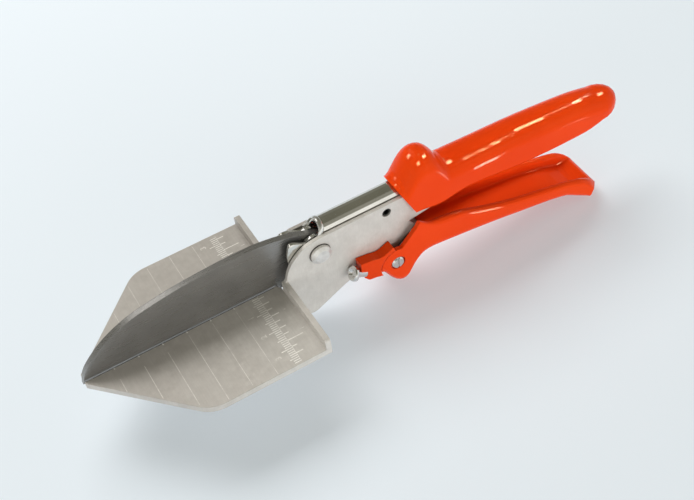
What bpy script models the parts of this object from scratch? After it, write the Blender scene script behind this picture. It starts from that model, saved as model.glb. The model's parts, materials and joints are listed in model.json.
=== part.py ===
"""Profile shears: a hand cutter for plastic trunking and edge profiles.

A blade turned by the lower handle closes into the slot of a two-winged table with a fence.
Every shape is drawn in the tool's own frame: X runs from the blade's tip to the handles'
ends and is zero at the fence, Y is the tool's width with the operator's near side negative,
Z is height above the table's face.
"""

import math

import bmesh
import bpy
from mathutils import Matrix, Vector

# Fits and smoothness
FIT = 0.0003
LAP = 0.00005
WELD = 0.000002
REACH = 0.06
ROUND_SIDES = 32
SMALL_SIDES = 20
CORNER_STEPS = 5
GUTTER_RUNG = (CORNER_STEPS + 1) * 11 // 2
CURVE_STEPS = 5
SHARP_ANGLE = math.radians(35)

# Table and fence
TIP_X = -0.0818
TABLE_THICK = 0.0028
TABLE_HALF_FAR = 0.0370
TABLE_HALF_NEAR = 0.0392
SLOT_HALF = 0.0016
SHOULDER_X_NEAR = -0.0470
SHOULDER_X_FAR = -0.0459
SHOULDER_ROUND = 0.0130
TIP_ROUND = 0.0008
RELIEF_RADIUS = 0.0010
RELIEF_RISE = 0.0150
FENCE_HEIGHT = 0.0050
FENCE_THICK = 0.0022
FENCE_END_ROUND = 0.0022
BEND_RADIUS = 0.0020

# Side cheeks
CHEEK_IN = 0.0048
CHEEK_THICK = 0.0015
CHEEK_OUT = CHEEK_IN + CHEEK_THICK
CHEEK_TOP = 0.0198
CHEEK_TOP_FAR = 0.0182
CHEEK_END_X = 0.0820
CHEEK_END_LOW = 0.0095
CHEEK_FRONT_X = 0.0009
CHEEK_NOSE = ((0.0018, 0.0060), (0.0026, 0.0089), (0.0042, 0.0121), (0.0066, 0.0150),
              (0.0100, 0.0178), (0.0140, 0.0193), (0.0190, 0.0198))
CHEEK_BELLY = ((0.0036, -0.0110), (0.0060, -0.0162), (0.0088, -0.0192), (0.0116, -0.0195),
               (0.0155, -0.0176), (0.0204, -0.0151), (0.0253, -0.0125), (0.0290, -0.0111),
               (0.0332, -0.0100), (0.0380, -0.0088))
CHEEK_HEEL = (0.0500, -0.0060)
CHEEK_STEP_LOW = (0.0588, 0.0018)
CHEEK_STEP_HIGH = (0.0563, 0.0053)
CHEEK_REAR_LOW = (0.0640, 0.0066)
CHEEK_SOFT = 0.0012

# Upper channel
CHANNEL_HALF = CHEEK_IN - FIT
CHANNEL_SHEET = 0.0012
CHANNEL_BORE = CHANNEL_HALF - CHANNEL_SHEET
CHANNEL_CROWN_Z = 0.0186
CHANNEL_START_X = 0.0022
CHANNEL_END_X = 0.1040
CHANNEL_NOSE = ((0.0050, 0.0030), (0.0046, 0.0095), (0.0043, 0.0135), (0.0047, 0.0175),
                (0.0062, 0.0204), (0.0086, 0.0203), (0.0122, 0.0184), (0.0152, 0.0174),
                (0.0180, 0.0184), (0.0197, 0.0212), (0.0203, 0.0240))
CHANNEL_LOW_FRONT = 0.0042
CHANNEL_LOW_REAR = 0.0100
CHANNEL_RISE_X = 0.0560
CHANNEL_RISE_RUN = 0.0060

# Pivot and blade
PIVOT = (0.0171, 0.0120)
RIVET_SHANK = 0.0030
RIVET_HEAD = 0.0043
RIVET_HEAD_TALL = 0.0022
RIVET_FACE = 0.0029
RIVET_SHOULDER = 0.0011
BLADE_THICK = 0.0025
BLADE_HALF = BLADE_THICK / 2
BLADE_TIP_X = -0.0824
BLADE_EDGE_Z = -0.0024
BLADE_BACK = ((-0.0819, 0.0000), (-0.0807, 0.0032), (-0.0783, 0.0066), (-0.0738, 0.0110),
              (-0.0685, 0.0149), (-0.0612, 0.0186), (-0.0540, 0.0208), (-0.0400, 0.0233),
              (-0.0240, 0.0246), (-0.0110, 0.0249), (-0.0020, 0.0242), (0.0066, 0.0224),
              (0.0130, 0.0202), (0.0190, 0.0176))
BLADE_HEEL_X = -0.0012
GRIND_WIDTH = 0.0030
GRIND_DEPTH = 0.0009
WASHER_RADIUS = 0.0065
TANG_TOP = ((0.0260, 0.0136), (0.0400, 0.0070), (0.0500, 0.0016), (0.0570, -0.0028))
TANG_END_X = 0.0625
TANG_END_HIGH = -0.0050
TANG_END_LOW = -0.0098
TANG_LOW = ((0.0590, -0.0102), (0.0545, -0.0114), (0.0495, -0.0139), (0.0460, -0.0133),
            (0.0420, -0.0106), (0.0350, -0.0084), (0.0220, -0.0052), (0.0080, -0.0032))
TANG_SOFT = 0.0015

# Rear fastenings of the frame
FRAME_RIVET_RADIUS = 0.0020
FRAME_RIVET_Z = 0.0140
FRAME_RIVET_FRONT_X = 0.0665
FRAME_RIVET_PITCH = 0.0100
FRAME_RIVET_REAR_X = FRAME_RIVET_FRONT_X + FRAME_RIVET_PITCH
FLUSH = 0.0002

# Opening spring
SPRING_AXIS = (0.0471, 0.0158)
PIN_RADIUS = 0.0017
PIN_BORE = 0.0012
PIN_RECESS = 0.0004
SPRING_WIRE = 0.0010
SPRING_COIL = 0.0030
SPRING_TURNS = 2
SPRING_PITCH = 0.00150
SPRING_STEPS = 12
SPRING_STRAIGHT = 0.0040
SPRING_ARM = (0.0330, 0.0204)
SPRING_BEARING = (0.0560, -0.0013)

# Upper grip
UPPER_HALF = 0.0083
UPPER_SOFT = 0.0012
UPPER_PROFILE = ((0.0480, 0.0240, 0.0050), (0.0545, 0.0246, 0.0088), (0.0572, 0.0276, 0.0092),
                 (0.0597, 0.0312, 0.0094), (0.0624, 0.0340, 0.0092), (0.0655, 0.0350, 0.0086),
                 (0.0688, 0.0340, 0.0081), (0.0715, 0.0311, 0.0080), (0.0735, 0.0278, 0.0082),
                 (0.0758, 0.0256, 0.0086), (0.0820, 0.0253, 0.0094), (0.0930, 0.0250, 0.0086),
                 (0.1080, 0.0246, 0.0069), (0.1220, 0.0237, 0.0062), (0.1370, 0.0223, 0.0062),
                 (0.1440, 0.0212, 0.0068), (0.1500, 0.0198, 0.0086))
UPPER_END_X = 0.1602
UPPER_END_Z = 0.0130
UPPER_END_STEPS = 6
UPPER_LIP_HIGH = (0.0526, 0.0240)
UPPER_LIP_LOW = (0.0596, 0.0090)
UPPER_BARREL_HALF = 0.0078
UPPER_HOLLOW = ((0.1100, 0.0195), (0.1370, 0.0172), (0.1480, 0.0140), (0.1510, 0.0080))
UPPER_GUARD_X = 0.0735

# Lower handle
CROSS = (0.0476, -0.0098)
LOWER_HALF = 0.0109
LOWER_COAT = 0.0010
LOWER_SHEET = 0.0012
LOWER_LINING = 0.0007
CORE_OUT = LOWER_HALF - LOWER_COAT - FIT
CORE_IN = CORE_OUT - LOWER_SHEET
LINING_IN = CORE_IN - FIT - LOWER_LINING
LOWER_CORNER = 0.0040
LOWER_PROFILE = ((0.0380, 0.0090, -0.0122), (0.0411, 0.0090, -0.0134), (0.0425, 0.0090, -0.0150),
                 (0.0444, 0.0090, -0.0184), (0.0469, 0.0090, -0.0217), (0.0496, 0.0090, -0.0233),
                 (0.0522, 0.0088, -0.0224), (0.0551, 0.0084, -0.0180), (0.0584, 0.0074, -0.0145),
                 (0.0612, 0.0050, -0.0132), (0.0647, 0.0028, -0.0129), (0.0710, 0.0014, -0.0136),
                 (0.0780, 0.0002, -0.0145), (0.0855, -0.0028, -0.0155), (0.0950, -0.0063, -0.0169),
                 (0.1070, -0.0098, -0.0187), (0.1220, -0.0132, -0.0210), (0.1310, -0.0153, -0.0234),
                 (0.1380, -0.0169, -0.0262), (0.1430, -0.0186, -0.0280), (0.1472, -0.0212, -0.0290),
                 (0.1502, -0.0246, -0.0294))
LOWER_SPOON_X = 0.1360
LOWER_SPOON_LIP = 0.0006
LOWER_FLARE_X = 0.1310
LOWER_FLARE = 0.0010
LOWER_END_BOW = 0.0060
LOWER_END_UNDER = 0.0030
LOWER_END_X = 0.1502
CORE_END_X = 0.1400
BOSS_RADIUS = 0.0075
LINING_START_X = 0.0630
LINING_FULL_X = 0.0680
WALL_FRONT_LOW = (0.0500, -0.0027)
WALL_FRONT_HIGH = (0.0573, 0.0046)
WALL_FRONT_TOP = (0.0588, 0.0071)
LOBE_FRONT_X = 0.0411

# Cross screw and tang rivet
SCREW_RADIUS = 0.0018
SCREW_HEAD = 0.0029
SCREW_HEAD_TALL = 0.0014
SCREW_SLOT_WIDE = 0.0008
SCREW_SLOT_DEEP = 0.0006
SCREW_TAIL = 0.0003
NUT_RADIUS = 0.0040
NUT_TALL = 0.0017
SLEEVE_RADIUS = 0.0028
TANG_RIVET = (0.0580, -0.0070)
TANG_RIVET_RADIUS = 0.0018
TANG_SPACER_RADIUS = 0.0027

# Latch
LATCH_IN = CHEEK_OUT + FIT
LATCH_OUT = 0.0109
TONGUE_OUT = CORE_IN - FIT
TONGUE_RADIUS = 0.0042
LATCH_TOP = ((0.0313, -0.0003), (0.0360, -0.0010), (0.0409, -0.0019), (0.0462, 0.0004))
LATCH_LOW = ((0.0404, -0.0128), (0.0376, -0.0119), (0.0342, -0.0113), (0.0322, -0.0088),
             (0.0312, -0.0052))
LATCH_SOFT = 0.0010
LATCH_ARC_FIRST = math.radians(95)
LATCH_ARC_LAST = math.radians(206)
CATCH = (0.0374, -0.0099)
CATCH_RADIUS = 0.0011
CATCH_IN = CHEEK_IN + FIT
CATCH_OUT = 0.0080
LATCH_SWING = math.radians(18)
CATCH_ROOM = 0.0010
NOTCH_REAR_ROOM = 0.0052
NOTCH_TOP_ROOM = 0.0034
NOTCH_SOFT = 0.0006
STUD_ENTRY = (0.0320, -0.0092, -0.0066)
STUD_TILT = math.radians(28)
STUD_OUT = 0.0051
STUD_HEAD_RADIUS = 0.0026
STUD_HEAD_TALL = 0.0016
STUD_COLLAR_RADIUS = 0.0018
STUD_COLLAR_TALL = 0.0008
STUD_SHANK = 0.0010
STUD_TAIL = 0.0024
STUD_SLOT_WIDE = 0.0007
STUD_SLOT_DEEP = 0.0006

# Place of the tool's frame
LOWEST_Z = -0.0294
CENTRE_X = (BLADE_TIP_X + UPPER_END_X) / 2
CENTRE_Y = (TABLE_HALF_FAR - TABLE_HALF_NEAR) / 2

for leftover in list(bpy.data.objects):
    bpy.data.objects.remove(leftover, do_unlink=True)

parts = bpy.data.collections.new("profile_shears")
bpy.context.scene.collection.children.link(parts)
cutters = bpy.data.collections.new("cutters")
bpy.context.scene.collection.children.link(cutters)

tool_frame = bpy.data.objects.new("tool_frame", None)
tool_frame.location = (-CENTRE_X, -CENTRE_Y, -LOWEST_Z)
parts.objects.link(tool_frame)
lever_axis = bpy.data.objects.new("lever_axis", None)
lever_axis.location = (PIVOT[0], 0, PIVOT[1])
latch_axis = bpy.data.objects.new("latch_axis", None)
latch_axis.location = (CROSS[0], 0, CROSS[1])
for axis in (lever_axis, latch_axis):
    axis.parent = tool_frame
    parts.objects.link(axis)
bpy.context.view_layer.update()


def look(name, colour, roughness, metallic):
    material = bpy.data.materials.new(name)
    material.use_nodes = True
    shader = material.node_tree.nodes["Principled BSDF"]
    shader.inputs["Base Color"].default_value = (*colour, 1)
    shader.inputs["Roughness"].default_value = roughness
    shader.inputs["Metallic"].default_value = metallic
    return material


def rounded(corners, steps=CORNER_STEPS):
    """Outline through (x, y, radius) corners, each rounded by its own radius."""
    outline = []
    count = len(corners)
    for index, (x, y, radius) in enumerate(corners):
        here = Vector((x, y))
        before = Vector(corners[index - 1][:2]) - here
        after = Vector(corners[(index + 1) % count][:2]) - here
        if radius == 0 or before.length == 0 or after.length == 0:
            outline.append((x, y))
            continue
        half = before.angle(after) / 2
        if half > math.radians(89):
            outline.append((x, y))
            continue
        reach = min(radius / math.tan(half), before.length / 2, after.length / 2)
        first = here + before.normalized() * reach
        last = here + after.normalized() * reach
        for step in range(steps + 1):
            t = step / steps
            point = first * (1 - t) ** 2 + here * 2 * t * (1 - t) + last * t ** 2
            outline.append((point.x, point.y))
    return outline


def smooth(points, steps=CURVE_STEPS):
    """Points along a smooth curve that passes through the given ones."""
    spots = [Vector(p) for p in points]
    spots = [spots[0] * 2 - spots[1]] + spots + [spots[-1] * 2 - spots[-2]]
    line = []
    for index in range(1, len(spots) - 2):
        a, b, c, d = spots[index - 1:index + 3]
        for step in range(steps):
            t = step / steps
            point = (b * 2 + (c - a) * t + (a * 2 - b * 5 + c * 4 - d) * t ** 2
                     + (b * 3 - a - c * 3 + d) * t ** 3) / 2
            line.append(tuple(point))
    line.append(tuple(spots[-2]))
    return line


def settle(mesh):
    """Weld and turn outward the faces of a freshly made mesh."""
    work = bmesh.new()
    work.from_mesh(mesh)
    bmesh.ops.remove_doubles(work, verts=work.verts, dist=WELD)
    bmesh.ops.recalc_face_normals(work, faces=work.faces)
    if work.calc_volume(signed=True) < 0:
        bmesh.ops.reverse_faces(work, faces=work.faces)
    work.to_mesh(mesh)
    work.free()
    mesh.shade_smooth()
    mesh.set_sharp_from_angle(angle=SHARP_ANGLE)


def place(name, mesh, material, collection=None):
    """Object of this mesh, drawn in the tool's frame."""
    body = bpy.data.objects.new(name, mesh)
    (collection or parts).objects.link(body)
    body.parent = tool_frame
    if material:
        mesh.materials.clear()
        mesh.materials.append(material)
    if collection is cutters:
        body.hide_render = True
        body.display_type = "WIRE"
    return body


def from_curve(name, guide, material, collection=None):
    """Mesh object that takes the place of a curve object."""
    bpy.context.view_layer.update()
    graph = bpy.context.evaluated_depsgraph_get()
    mesh = bpy.data.meshes.new_from_object(guide.evaluated_get(graph))
    mesh.name = name
    mesh.transform(guide.matrix_world)
    settle(mesh)
    bpy.data.objects.remove(guide, do_unlink=True)
    return place(name, mesh, material, collection)


def flat_outline(name, outline, thick):
    """Curve object of a filled outline in its own XY plane."""
    curve = bpy.data.curves.new(name, "CURVE")
    curve.dimensions = "2D"
    curve.fill_mode = "BOTH"
    curve.extrude = thick / 2
    line = curve.splines.new("POLY")
    line.points.add(len(outline) - 1)
    for spot, (u, v) in zip(line.points, outline):
        spot.co = (u, v, 0, 1)
    line.use_cyclic_u = True
    guide = bpy.data.objects.new(name, curve)
    bpy.context.scene.collection.objects.link(guide)
    return guide


def side_plate(name, outline, low_y, high_y, material=None, collection=None):
    """Plate with its outline in X and Z, between two widths."""
    guide = flat_outline(name + "_line", outline, high_y - low_y)
    guide.rotation_euler = (math.pi / 2, 0, 0)
    guide.location = (0, (low_y + high_y) / 2, 0)
    return from_curve(name, guide, material, collection)


def floor_plate(name, outline, low_z, high_z, material=None, collection=None):
    """Plate with its outline in X and Y, between two heights."""
    guide = flat_outline(name + "_line", outline, high_z - low_z)
    guide.location = (0, 0, (low_z + high_z) / 2)
    return from_curve(name, guide, material, collection)


def end_plate(name, outline, low_x, high_x, material=None, collection=None):
    """Bar with its outline in Y and Z, between two lengths."""
    guide = flat_outline(name + "_line", outline, high_x - low_x)
    guide.rotation_euler = (math.pi / 2, 0, math.pi / 2)
    guide.location = ((low_x + high_x) / 2, 0, 0)
    return from_curve(name, guide, material, collection)


def block(name, low, high, material=None, collection=None):
    """Box between two corners."""
    mesh = bpy.data.meshes.new(name)
    work = bmesh.new()
    bmesh.ops.create_cube(work, size=1)
    for corner in work.verts:
        corner.co = [a + (b - a) * (c + 1 / 2) for a, b, c in zip(low, high, corner.co)]
    work.to_mesh(mesh)
    work.free()
    settle(mesh)
    return place(name, mesh, material, collection)


def cross_rod(name, centre, radius, low_y, high_y, material=None, collection=None,
              sides=SMALL_SIDES):
    """Round rod along the tool's width."""
    mesh = bpy.data.meshes.new(name)
    work = bmesh.new()
    bmesh.ops.create_cone(work, cap_ends=True, segments=sides, radius1=radius, radius2=radius,
                          depth=high_y - low_y)
    for corner in work.verts:
        x, y, z = corner.co
        corner.co = (centre[0] + x, (low_y + high_y) / 2 + z, centre[1] - y)
    work.to_mesh(mesh)
    work.free()
    settle(mesh)
    return place(name, mesh, material, collection)


def turned(name, profile, centre, material, along_x=False, sides=SMALL_SIDES):
    """Turned piece: (radius, place along its axis) from one end to the other."""
    mesh = bpy.data.meshes.new(name)
    spots = [(radius, 0, at) for radius, at in profile]
    mesh.from_pydata(spots, [(i, i + 1) for i in range(len(spots) - 1)], [])
    guide = bpy.data.objects.new(name + "_line", mesh)
    bpy.context.scene.collection.objects.link(guide)
    spin = guide.modifiers.new("turn", "SCREW")
    spin.axis = "Z"
    spin.steps = sides
    spin.render_steps = sides
    spin.use_merge_vertices = True
    spin.merge_threshold = WELD
    if along_x:
        guide.rotation_euler = (0, math.pi / 2, 0)
    else:
        guide.rotation_euler = (-math.pi / 2, 0, 0)
    guide.location = centre
    return from_curve(name, guide, material)


def loft(name, sections, material=None, collection=None, first_rung=None):
    """Closed body over matching loops of points; its ends are one face or a ladder of faces."""
    mesh = bpy.data.meshes.new(name)
    work = bmesh.new()
    rings = [[work.verts.new(spot) for spot in loop] for loop in sections]
    count = len(rings[0])
    for first, second in zip(rings, rings[1:]):
        for index in range(count):
            following = (index + 1) % count
            work.faces.new((first[index], first[following], second[following], second[index]))
    for ring_points in (rings[0], rings[-1]):
        if first_rung is None:
            work.faces.new(ring_points)
            continue
        for rung in range(count // 2 - 1):
            up = (first_rung + rung) % count
            down = (first_rung - 1 - rung) % count
            work.faces.new((ring_points[up], ring_points[(up + 1) % count],
                            ring_points[down - 1], ring_points[down]))
    work.to_mesh(mesh)
    work.free()
    settle(mesh)
    return place(name, mesh, material, collection)


def combine(body, tools, operation="DIFFERENCE"):
    """Cut, join or trim a body by other bodies, which become cutters."""
    for tool in tools:
        step = body.modifiers.new(operation.lower() + "_" + tool.name, "BOOLEAN")
        step.operation = operation
        step.solver = "EXACT"
        step.object = tool
    return body


STEEL = look("frame_steel", (0.60, 0.56, 0.53), 0.34, 1.0)
CHROME = look("channel_steel", (0.74, 0.74, 0.74), 0.16, 1.0)
BLADE_STEEL = look("blade_steel", (0.20, 0.18, 0.17), 0.38, 1.0)
ZINC = look("fastener_steel", (0.66, 0.66, 0.64), 0.30, 1.0)
SPRING_STEEL = look("spring_steel", (0.30, 0.30, 0.30), 0.35, 1.0)
VINYL = look("grip_vinyl", (0.78, 0.07, 0.012), 0.18, 0.0)
LATCH_VINYL = look("latch_vinyl", (0.78, 0.08, 0.014), 0.20, 0.0)


# Frame halves
def cheek_outline(side):
    top = CHEEK_TOP if side < 0 else CHEEK_TOP_FAR
    nose = [(x, min(z, top)) for x, z in smooth(CHEEK_NOSE)]
    belly = smooth(CHEEK_BELLY)
    corners = [(CHEEK_FRONT_X, FENCE_HEIGHT - LAP, 0)]
    corners += [(x, z, 0) for x, z in nose]
    corners += [(CHEEK_END_X, top, CHEEK_SOFT), (CHEEK_END_X, CHEEK_END_LOW, CHEEK_SOFT),
                (*CHEEK_REAR_LOW, 0), (*CHEEK_STEP_HIGH, 0), (*CHEEK_STEP_LOW, 0),
                (*CHEEK_HEEL, CHEEK_SOFT)]
    corners += [(x, z, 0) for x, z in reversed(belly)]
    corners += [(CHEEK_FRONT_X, -TABLE_THICK, 0)]
    return rounded(corners)


def table_half(side):
    return TABLE_HALF_NEAR if side < 0 else TABLE_HALF_FAR


def shoulder_x(side):
    return SHOULDER_X_NEAR if side < 0 else SHOULDER_X_FAR


def wing_outline(side):
    corners = [(TIP_X, side * SLOT_HALF, 0),
               (TIP_X, side * (SLOT_HALF + TIP_ROUND), TIP_ROUND),
               (shoulder_x(side), side * table_half(side), SHOULDER_ROUND),
               (FENCE_THICK - LAP, side * table_half(side), 0),
               (FENCE_THICK - LAP, side * (CHEEK_IN + LAP), 0),
               (0, side * (CHEEK_IN + LAP), 0),
               (0, side * SLOT_HALF, 0)]
    return rounded(corners, CORNER_STEPS + 3)


def frame_half(name, side):
    """Steel sheet that makes a side plate, its fence and its table wing."""
    low, high = sorted((side * CHEEK_IN, side * CHEEK_OUT))
    plate = side_plate(name, cheek_outline(side), low, high, STEEL)
    wing = floor_plate(name + "_wing", wing_outline(side), -TABLE_THICK, 0, None, cutters)
    fence_line = rounded([(0, -TABLE_THICK + LAP, 0), (FENCE_THICK, -TABLE_THICK + LAP, BEND_RADIUS),
                          (FENCE_THICK, FENCE_HEIGHT, LAP), (0, FENCE_HEIGHT, LAP)])
    low, high = sorted((side * (CHEEK_IN + LAP), side * (table_half(side) - LAP)))
    fence = side_plate(name + "_fence", fence_line, low, high, None, cutters)
    end_line = rounded([(side * CHEEK_IN, -REACH, 0), (side * table_half(side), -REACH, 0),
                        (side * table_half(side), FENCE_HEIGHT + LAP, FENCE_END_ROUND),
                        (side * CHEEK_IN, FENCE_HEIGHT + LAP, 0)])
    combine(fence, [end_plate(name + "_fence_end", end_line, -REACH, REACH, None, cutters)],
            "INTERSECT")
    combine(plate, [wing, fence], "UNION")
    relief = bpy.data.meshes.new(name + "_relief")
    work = bmesh.new()
    bmesh.ops.create_cone(work, cap_ends=True, segments=SMALL_SIDES, radius1=RELIEF_RADIUS,
                          radius2=RELIEF_RADIUS, depth=REACH)
    for corner in work.verts:
        corner.co.y += side * (SLOT_HALF + RELIEF_RADIUS / 2)
        corner.co.z += RELIEF_RISE
    work.to_mesh(relief)
    work.free()
    bore = cross_rod(name + "_bore", PIVOT, RIVET_SHANK + FIT, -REACH, REACH, None, cutters)
    pin_seat = cross_rod(name + "_pin_seat", SPRING_AXIS, PIN_RADIUS + FIT, -REACH, REACH, None,
                         cutters)
    front = cross_rod(name + "_front_seat", (FRAME_RIVET_FRONT_X, FRAME_RIVET_Z),
                      FRAME_RIVET_RADIUS + FIT, -REACH, REACH, None, cutters)
    rear = cross_rod(name + "_rear_seat", (FRAME_RIVET_REAR_X, FRAME_RIVET_Z),
                     FRAME_RIVET_RADIUS + FIT, -REACH, REACH, None, cutters)
    combine(plate, [bore, pin_seat, front, rear,
                    place(name + "_relief", relief, None, cutters)])
    return plate


near_cheek = frame_half("near_cheek", -1)
far_cheek = frame_half("far_cheek", 1)


def turned_about(point, centre, angle):
    """Point in X and Z after a turn about a centre, front end upward."""
    u = point[0] - centre[0]
    v = point[1] - centre[1]
    return (centre[0] + u * math.cos(angle) + v * math.sin(angle),
            centre[1] + v * math.cos(angle) - u * math.sin(angle))


locked = turned_about(CATCH, CROSS, LATCH_SWING)
notch_front = locked[0] - CATCH_RADIUS - FIT - CATCH_ROOM
notch_rear = locked[0] + NOTCH_REAR_ROOM
notch_top = locked[1] + NOTCH_TOP_ROOM
notch_line = rounded([(notch_front, -REACH, 0), (notch_rear, -REACH, 0),
                      (notch_rear, notch_top, NOTCH_SOFT), (notch_front, notch_top, NOTCH_SOFT)])
combine(near_cheek, [side_plate("catch_notch", notch_line, -REACH, -CHEEK_IN / 2, None, cutters)])

# Upper channel
def arch(half, crown_z, low_z, steps=CORNER_STEPS * 2):
    """Outline in Y and Z of a bar with a round top."""
    points = [(-half, low_z)]
    for step in range(steps + 1):
        turn = math.pi * (1 - step / steps)
        points.append((half * math.cos(turn), crown_z + half * math.sin(turn)))
    points.append((half, low_z))
    return points


upper_channel = end_plate("upper_channel", arch(CHANNEL_HALF, CHANNEL_CROWN_Z, CHANNEL_LOW_FRONT),
                          CHANNEL_START_X, CHANNEL_END_X, CHROME)
hollow = end_plate("channel_hollow", arch(CHANNEL_BORE, CHANNEL_CROWN_Z, -REACH),
                   CHANNEL_START_X - REACH, CHANNEL_END_X + REACH, None, cutters)
nose_line = smooth(CHANNEL_NOSE)
nose_line += [(CHANNEL_NOSE[-1][0], REACH), (-REACH, REACH), (-REACH, CHANNEL_NOSE[0][1])]
nose_cut = side_plate("channel_nose_cut", nose_line, -REACH / 2, REACH / 2, None, cutters)
rise_line = [(CHANNEL_RISE_X, -REACH), (CHANNEL_RISE_X, CHANNEL_LOW_FRONT - LAP),
             (CHANNEL_RISE_X + CHANNEL_RISE_RUN, CHANNEL_LOW_REAR),
             (CHANNEL_END_X + REACH, CHANNEL_LOW_REAR), (CHANNEL_END_X + REACH, -REACH)]
rise_cut = side_plate("channel_rise_cut", rise_line, -REACH / 3, REACH / 3, None, cutters)
channel_bores = [
    cross_rod("channel_bore", PIVOT, RIVET_SHANK + FIT, -REACH, REACH, None, cutters),
    cross_rod("channel_pin_seat", SPRING_AXIS, PIN_RADIUS + FIT, -REACH, REACH, None, cutters),
    cross_rod("channel_front_seat", (FRAME_RIVET_FRONT_X, FRAME_RIVET_Z),
              FRAME_RIVET_RADIUS + FIT, -REACH, REACH, None, cutters),
    cross_rod("channel_rear_seat", (FRAME_RIVET_REAR_X, FRAME_RIVET_Z),
              FRAME_RIVET_RADIUS + FIT, -REACH, REACH, None, cutters),
]
combine(upper_channel, [hollow, nose_cut, rise_cut] + channel_bores)

# Rivets of the frame
rivet_profile = [(0, CHEEK_OUT + FIT + RIVET_HEAD_TALL),
                 (RIVET_FACE, CHEEK_OUT + FIT + RIVET_HEAD_TALL),
                 (RIVET_HEAD, CHEEK_OUT + FIT + RIVET_SHOULDER),
                 (RIVET_HEAD, CHEEK_OUT + FIT),
                 (RIVET_SHANK, CHEEK_OUT + FIT)]
rivet_profile += [(radius, -at) for radius, at in reversed(rivet_profile)]
turned("main_rivet", rivet_profile, (PIVOT[0], 0, PIVOT[1]), ZINC, sides=ROUND_SIDES)
for label, rivet_x in (("front", FRAME_RIVET_FRONT_X), ("rear", FRAME_RIVET_REAR_X)):
    cross_rod("frame_rivet_" + label, (rivet_x, FRAME_RIVET_Z), FRAME_RIVET_RADIUS,
              -CHEEK_OUT + FLUSH, CHEEK_OUT - FLUSH, ZINC)

# Spring pin and opening spring
pin_half = CHEEK_OUT - PIN_RECESS
turned("spring_pin", [(PIN_RADIUS, pin_half), (PIN_RADIUS, -pin_half), (PIN_BORE, -pin_half),
                      (PIN_BORE, pin_half), (PIN_RADIUS, pin_half)],
       (SPRING_AXIS[0], 0, SPRING_AXIS[1]), SPRING_STEEL)


def spring_path():
    """Leg under the channel's roof, coil round the pin, leg on the tang."""
    centre = Vector((SPRING_AXIS[0], 0, SPRING_AXIS[1]))
    start = Vector((SPRING_ARM[0], 0, SPRING_ARM[1])) - centre
    end = Vector((SPRING_BEARING[0], 0, SPRING_BEARING[1])) - centre
    first = math.atan2(start.z, start.x) - math.acos(SPRING_COIL / start.length)
    last = math.atan2(end.z, end.x) + math.acos(SPRING_COIL / end.length)
    sweep = (first - last) % (2 * math.pi) + 2 * math.pi * SPRING_TURNS
    width = SPRING_PITCH * sweep / (2 * math.pi)
    count = int(sweep / (2 * math.pi) * SPRING_STEPS)
    path = []
    for step in range(count + 1):
        turn = first - sweep * step / count
        path.append(Vector((SPRING_COIL * math.cos(turn), (step / count - 1 / 2) * width,
                            SPRING_COIL * math.sin(turn))))
    out_first = Vector((start.x - path[0].x, 0, start.z - path[0].z)).normalized()
    out_last = Vector((end.x - path[-1].x, 0, end.z - path[-1].z)).normalized()
    legs = [start, path[0] + out_first * SPRING_STRAIGHT]
    legs += path
    legs += [path[-1] + out_last * SPRING_STRAIGHT, end]
    return [spot + centre for spot in legs]


coil_line = spring_path()
least = min((a - b).length for i, a in enumerate(coil_line) for b in coil_line[i + 4:])
print("opening spring: least gap between turns %.2f mm" % ((least - SPRING_WIRE) * 1000))
coil = bpy.data.curves.new("opening_spring_line", "CURVE")
coil.dimensions = "3D"
coil.bevel_depth = SPRING_WIRE / 2
coil.bevel_resolution = 1
coil.use_fill_caps = True
wire = coil.splines.new("POLY")
wire.points.add(len(coil_line) - 1)
for spot, point in zip(wire.points, coil_line):
    spot.co = (*point, 1)
coil_guide = bpy.data.objects.new("opening_spring_line", coil)
bpy.context.scene.collection.objects.link(coil_guide)
from_curve("opening_spring", coil_guide, SPRING_STEEL)

# Blade and its washers
blade_corners = [(BLADE_TIP_X, BLADE_EDGE_Z, 0)]
blade_corners += [(x, z, 0) for x, z in smooth(BLADE_BACK)]
blade_corners += [(x, z, 0) for x, z in smooth(TANG_TOP)]
blade_corners += [(TANG_END_X, TANG_END_HIGH, TANG_SOFT), (TANG_END_X, TANG_END_LOW, TANG_SOFT)]
blade_corners += [(x, z, 0) for x, z in smooth(TANG_LOW)]
blade_corners += [(BLADE_HEEL_X, BLADE_EDGE_Z, 0)]
blade = side_plate("blade", rounded(blade_corners), -BLADE_HALF, BLADE_HALF, BLADE_STEEL)
grind_line = [(-BLADE_HALF - LAP, BLADE_EDGE_Z - LAP),
              (-BLADE_HALF + GRIND_DEPTH, BLADE_EDGE_Z - LAP),
              (-BLADE_HALF - LAP, BLADE_EDGE_Z + GRIND_WIDTH)]
grind = end_plate("blade_grind", grind_line, BLADE_TIP_X - REACH, BLADE_HEEL_X, None, cutters)
combine(blade, [
    cross_rod("blade_bore", PIVOT, RIVET_SHANK + FIT, -REACH, REACH, None, cutters),
    cross_rod("blade_screw_bore", CROSS, SCREW_RADIUS + FIT, -REACH, REACH, None, cutters),
    cross_rod("blade_rivet_bore", TANG_RIVET, TANG_RIVET_RADIUS + FIT, -REACH, REACH, None,
              cutters),
    grind])


def ring(name, centre, outer, inner, low_y, high_y, material, sides=SMALL_SIDES):
    """Washer or sleeve across the tool's width."""
    return turned(name, [(outer, high_y), (outer, low_y), (inner, low_y), (inner, high_y),
                         (outer, high_y)], (centre[0], 0, centre[1]), material, sides=sides)


washer_low = BLADE_HALF + FIT
washer_high = CHANNEL_BORE - FIT
ring("blade_washer_near", PIVOT, WASHER_RADIUS, RIVET_SHANK + FIT, -washer_high, -washer_low,
     ZINC, ROUND_SIDES)
ring("blade_washer_far", PIVOT, WASHER_RADIUS, RIVET_SHANK + FIT, washer_low, washer_high,
     ZINC, ROUND_SIDES)


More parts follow.
